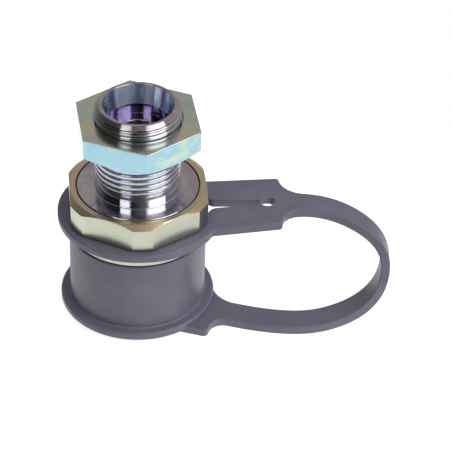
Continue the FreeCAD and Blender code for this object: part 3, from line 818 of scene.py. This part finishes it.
def tab_loops(cap):
    """Outside of ring and tab, and the keyhole of ring bore, slit and hole, with the tab along +X."""
    ring_r = cap.ring_diameter / 2
    half = cap.strap_width / 2 - PROUD
    low_y = cap.strap_tab_offset - half
    high_y = cap.strap_tab_offset + half
    near_end = cap.tab_near_reach + cap.tab_near_shoulder
    far_end = cap.tab_far_reach + cap.tab_far_shoulder

    def root(fillet, width, bulge):
        reach = ring_r + bulge + fillet
        side = width + fillet
        return math.sqrt(reach ** 2 - side ** 2), side

    near_x, near_y = root(cap.near_root, cap.tab_near_width, cap.ring_bulge)
    far_x, far_y = root(cap.far_root, cap.tab_far_width, 0)
    quarter = math.pi / 2
    near = outline_arc((near_x, -near_y), cap.near_root, math.atan2(near_y, -near_x), quarter, 8)
    near += plate_end(cap.tab_near_reach, cap.tab_near_end, cap.tab_corner, cap.tab_near_shoulder, low_y)
    mirrored = plate_end(
        cap.tab_far_reach, cap.tab_far_width, cap.tab_corner, cap.tab_far_shoulder, -high_y, 16)
    far = [Vector((p.x, -p.y)) for p in reversed(mirrored)]
    far += outline_arc((far_x, far_y), cap.far_root, -quarter, math.atan2(-far_y, -far_x), 6)
    # The tab runs on into the strap a little
    stub = [Vector((near_end + 1 * MM, low_y)), Vector((far_end + 0.05 * MM, high_y))]
    # The ring is drawn out over its last 32 degrees before the tab's near side
    start = math.atan2(far_y, far_x)
    stop = math.tau - math.atan2(near_y, near_x)
    drawn_out = []
    for point in outline_arc((0, 0), ring_r, start, stop, 120)[1:-1]:
        away = (stop - math.atan2(point.y, point.x)) % math.tau
        share = eased(1 - away / math.radians(32))
        drawn_out.append(point * (1 + share * cap.ring_bulge / ring_r))
    outside = near + stub + far + drawn_out

    bore_r = cap.ring_bore / 2
    hole_r = cap.hole_diameter / 2
    shift = cap.slit_offset - cap.hole_offset
    lean = cap.slit_offset / bore_r
    corner = cap.slit_corner
    corner_y = cap.slit_mouth / 2 + corner
    far_turn = math.asin((cap.slit_end / 2 + shift) / hole_r)
    near_turn = math.asin((cap.slit_end / 2 - shift) / hole_r)
    keyhole = outline_arc(
        (cap.slit_reach, cap.slit_offset + corner_y), corner, math.pi, 3 * quarter, 8)
    keyhole += outline_arc(
        (cap.hole_reach, cap.hole_offset), hole_r, math.pi - far_turn, near_turn - math.pi, 24)
    keyhole += outline_arc(
        (cap.slit_reach, cap.slit_offset - corner_y), corner, quarter, math.pi, 8)
    keyhole += outline_arc(
        (0, 0), bore_r, lean - cap.slit_flare, cap.slit_flare + lean - math.tau, 110)
    return outside, keyhole


def base_loop(cap):
    """Outside of the base plate, which runs out into the strap, with the strap along +X."""
    half = cap.strap_width / 2 - PROUD
    near_y = cap.strap_offset - half
    far_y = cap.strap_offset + half
    end = cap.base_reach + cap.near_shoulder
    overlap = 2 * MM
    loop = [Vector((overlap, -cap.base_edge))]
    loop += plate_end(cap.base_reach, cap.base_edge, cap.base_corner, cap.near_shoulder, near_y)
    loop += [Vector((end + overlap, near_y)), Vector((end + overlap, far_y))]
    # The far shoulder ends under the flange
    under = -math.radians(148)
    loop += outline_arc((end, far_y + cap.far_shoulder), cap.far_shoulder, -math.pi / 2, under, 12)
    return loop + [Vector((overlap, loop[-1].y))]


def curve_point(poles, share):
    """Point of a clamped uniform cubic spline at a share of its parameter range."""
    spans = len(poles) - 3
    knots = [0.0] * 3 + [float(i) for i in range(spans + 1)] + [float(spans)] * 3
    t = min(share * spans, spans - 1e-9)
    k = int(t) + 3
    points = [poles[k - 3 + i].copy() for i in range(4)]
    for level in range(1, 4):
        for i in range(3, level - 1, -1):
            low = knots[k - 3 + i]
            high = knots[k + 1 + i - level]
            w = (t - low) / (high - low)
            points[i] = points[i - 1] * (1 - w) + points[i] * w
    return points[3]


def strap(mesh, cap, stations=90):
    """Flat strap looped up from the base plate to the tab, its width kept nearly level."""
    low = cap.plate_thickness / 2
    high = RING_TOP - low
    base_end = cap.base_reach + cap.near_shoulder
    base_turn = Matrix.Rotation(cap.base_angle, 3, "Z")
    tab_turn = Matrix.Rotation(cap.tab_angle, 3, "Z")
    # Control points round the far bend, in millimetres
    far = [(48.3, -8.0, 1.4), (56.9, -2.5, 4.1), (60.5, 2.0, 10.2), (57.8, 1.4, 21.7)]
    poles = [
        base_turn @ Vector((base_end, cap.strap_offset, low)),
        base_turn @ Vector((base_end + cap.strap_run, cap.strap_offset, low)),
        *(Vector(point) * MM for point in far),
        tab_turn @ Vector((cap.strap_tab_reach + cap.strap_lead, cap.strap_tab_offset, high)),
        tab_turn @ Vector((cap.strap_tab_reach, cap.strap_tab_offset, high))]
    half_w = cap.strap_width / 2
    half_t = low + PROUD
    edge = cap.edge_radius
    section = rounded([
        (-half_w, -half_t, edge), (half_w, -half_t, edge), (half_w, half_t, edge),
        (-half_w, half_t, edge)], 4)
    near = 0.002
    rings = []
    for i in range(stations):
        share = i / (stations - 1)
        middle = curve_point(poles, share)
        along = curve_point(poles, min(1.0, share + near)) - curve_point(poles, max(0.0, share - near))
        along.normalize()
        turn = cap.base_angle + (cap.tab_angle - cap.base_angle) * eased(share)
        across = Vector((-math.sin(turn), math.cos(turn), 0))
        across = (across - along * across.dot(along)).normalized()
        inward = along.cross(across)
        rings.append([middle + across * p.x + inward * p.y for p in section])
    capped_skin(mesh, rings)


class COUPLING_OT_cap(bpy.types.Operator):
    """Soft dust cap: cup, flange, base plate, looped strap, slit tab and ring"""
    bl_idname = "coupling.cap"
    bl_label = "Dust cap"

    def execute(self, context):
        cap = context.scene.coupling_cap
        edge = cap.edge_radius
        base_r = cap.base_diameter / 2
        flange_r = cap.flange_diameter / 2
        cup_r = cap.cup_diameter / 2
        bore_r = cap.cup_bore / 2
        cup = rounded([
            (0, 0, 0), (base_r, 0, edge), (base_r, cap.flange_bottom, edge / 2),
            (flange_r, cap.flange_bottom, edge), (flange_r, cap.flange_top, 1.6 * edge),
            (cup_r, cap.flange_top, edge), (cup_r, cap.rim_height, 0.8 * edge),
            (bore_r, cap.rim_height, edge / 2), (bore_r, cap.cup_floor, 2 * edge),
            (0, cap.cup_floor, 0)], 5)
        mesh = bmesh.new()
        turned(mesh, lambda a: cup, round_angles(160))

        # From the axis towards the tab the ring thickens first, and then rises
        thicken_over = 11 * MM
        rise_from, rise_over = 6 * MM, 20 * MM
        extra = cap.plate_thickness + 4 * PROUD - cap.ring_thickness

        def ring_high(point):
            return RING_TOP - cap.ring_sag * (1 - eased((point.x - rise_from) / rise_over))

        def ring_low(point):
            at_bore = point.length < cap.ring_bore / 2 + 5 * PROUD
            share = 0.0 if at_bore else eased(point.x / thicken_over)
            return ring_high(point) - cap.ring_thickness - share * extra

        outside, keyhole = tab_loops(cap)
        slab(mesh, outside, [keyhole], ring_low, ring_high, edge, cap.tab_angle)
        slab(mesh, base_loop(cap), [], lambda p: 0.0, lambda p: cap.plate_thickness, edge, cap.base_angle)
        strap(mesh, cap)
        material = soft_vinyl("soft vinyl, injection moulded", context.scene.coupling_finishes.soft_grey)
        piece("soft_dust_cap", mesh, material, "cap", "dust_cap")
        return {"FINISHED"}


def softbox(name, stage, sideways, elevation, lamp_size, power):
    """Rectangular lamp aimed at the camera's target. It stands so many degrees sideways from the
    camera's side and above the horizon. Its size is in metres and its power in watts."""
    lamp = bpy.data.lights.new(name, "AREA")
    lamp.shape = "RECTANGLE"
    lamp.size, lamp.size_y = lamp_size
    lamp.energy = power
    level = math.cos(math.radians(elevation))
    turn = math.radians(sideways)
    way = Vector((math.sin(turn) * level, -math.cos(turn) * level, math.sin(math.radians(elevation))))
    made = add_object(name, lamp)
    made.location = Vector(stage.target) + way * stage.lamp_distance
    made.rotation_euler = way.to_track_quat("Z", "Y").to_euler()


def paper_floor(stage):
    """Round sheet of matt white paper under the coupling."""
    mesh = bmesh.new()
    bmesh.ops.create_circle(mesh, cap_ends=True, segments=96, radius=stage.floor_radius)
    data = bpy.data.meshes.new("floor")
    mesh.to_mesh(data)
    mesh.free()
    material, tree, shader = new_material("paper, matt")
    shader.inputs["Base Color"].default_value = (*stage.floor, 1)
    shader.inputs["Roughness"].default_value = 0.9
    # The open paper is lifted just to white for the camera, so the shadow at the foot still shows,
    # and a little more for what the metal mirrors
    path = put(tree, "LightPath")
    bounced = put(tree, "Math", {
        0: path.outputs["Is Glossy Ray"], 1: path.outputs["Is Transmission Ray"]},
        operation="ADD", use_clamp=True)
    bounced = put(tree, "Math", {0: bounced.outputs["Value"], 1: 0.95}, operation="MULTIPLY")
    lift = put(tree, "Math", {
        0: path.outputs["Is Camera Ray"], 1: 0.79, 2: bounced.outputs["Value"]}, operation="MULTIPLY_ADD")
    glow = put(tree, "Emission", {"Color": (1, 1, 1, 1), "Strength": lift.outputs["Value"]})
    both = put(tree, "AddShader", {0: shader.outputs["BSDF"], 1: glow.outputs["Emission"]})
    tree.links.new(both.outputs["Shader"], tree.nodes["Material Output"].inputs["Surface"])
    data.materials.append(material)
    add_object("floor", data)


def grey_room():
    """Surroundings that the metal mirrors: a grey room, dark to the left of the camera, and white
    where the camera sees past the floor."""
    world = bpy.data.worlds.new("studio")
    bpy.context.scene.world = world
    world.use_nodes = True
    tree = world.node_tree
    backdrop = tree.nodes["Background"]
    way = put(tree, "VectorMath", {
        0: put(tree, "TexCoord").outputs["Generated"], 1: (0.7, 0.62, 0.35)},
        operation="DOT_PRODUCT")
    back = put(tree, "MapRange", {
        "Value": way.outputs["Value"], "From Min": -0.5, "From Max": 0.5})
    shade = put(tree, "ValToRGB", {"Fac": back.outputs["Result"]}, stops=[
        (0.1, (0.02, 0.02, 0.02)), (0.22, (0.08, 0.08, 0.085)), (0.36, (0.25, 0.25, 0.26)),
        (1.0, (0.46, 0.46, 0.48))])
    seen = put(tree, "Mix", {
        0: put(tree, "LightPath").outputs["Is Camera Ray"],
        6: shade.outputs["Color"], 7: (1, 1, 1, 1)}, data_type="RGBA")
    tree.links.new(seen.outputs[2], backdrop.inputs["Color"])
    backdrop.inputs["Strength"].default_value = 1.0


def photo_camera(stage):
    """Camera in front of the coupling, looking down at its target and rolled a little."""
    camera = add_object("camera", bpy.data.cameras.new("camera"))
    forward = Vector((0, math.cos(stage.elevation), -math.sin(stage.elevation)))
    above = Vector((0, math.sin(stage.elevation), math.cos(stage.elevation)))
    level = Vector((1, 0, 0))
    right = level * math.cos(stage.roll) + above * math.sin(stage.roll)
    up = above * math.cos(stage.roll) - level * math.sin(stage.roll)
    turn = Matrix((right, up, -forward)).transposed().to_4x4()
    camera.matrix_world = Matrix.Translation(Vector(stage.target) - forward * stage.distance) @ turn
    camera.data.lens = stage.lens
    camera.data.sensor_width = 36.0
    camera.data.sensor_fit = "HORIZONTAL"
    camera.data.clip_end = 20.0
    bpy.context.scene.camera = camera


class COUPLING_OT_stage(bpy.types.Operator):
    """Pale floor, soft lamps, plain surroundings and the camera"""
    bl_idname = "coupling.stage"
    bl_label = "Stage"

    def execute(self, context):
        stage = context.scene.coupling_stage
        paper_floor(stage)
        grey_room()
        softbox("right_softbox", stage, 56, 38, (0.68, 0.6), 5.2)
        softbox("left_softbox", stage, -33, 37, (0.34, 0.45), 1.6)
        photo_camera(stage)
        context.scene.view_settings.view_transform = "Standard"
        return {"FINISHED"}


OPERATORS = (
    COUPLING_OT_tail, COUPLING_OT_nut, COUPLING_OT_body, COUPLING_OT_spring, COUPLING_OT_valve,
    COUPLING_OT_cap, COUPLING_OT_stage)


class COUPLING_PT_panel(bpy.types.Panel):
    """Lists the coupling's pieces"""
    bl_label = "Brake coupling"
    bl_idname = "COUPLING_PT_panel"
    bl_space_type = "VIEW_3D"
    bl_region_type = "UI"
    bl_category = "Coupling"

    def draw(self, context):
        for operator in OPERATORS:
            self.layout.operator(operator.bl_idname)


GROUPS = {
    "coupling_tail": TailSizes, "coupling_nut": NutSizes, "coupling_body": BodySizes,
    "coupling_spring": SpringSizes, "coupling_cap": CapSizes, "coupling_finishes": Finishes,
    "coupling_stage": StageSettings}


def register():
    for group in GROUPS.values():
        bpy.utils.register_class(group)
    for name, group in GROUPS.items():
        setattr(bpy.types.Scene, name, bpy.props.PointerProperty(type=group))
    for item in (*OPERATORS, COUPLING_PT_panel):
        bpy.utils.register_class(item)


def unregister():
    for item in (COUPLING_PT_panel, *reversed(OPERATORS)):
        bpy.utils.unregister_class(item)
    for name, group in reversed(GROUPS.items()):
        delattr(bpy.types.Scene, name)
        bpy.utils.unregister_class(group)


def main():
    register()
    bpy.ops.coupling.tail()
    bpy.ops.coupling.nut()
    bpy.ops.coupling.body()
    bpy.ops.coupling.spring()
    bpy.ops.coupling.valve()
    bpy.ops.coupling.cap()
    bpy.ops.coupling.stage()


if __name__ == "__main__":
    main()
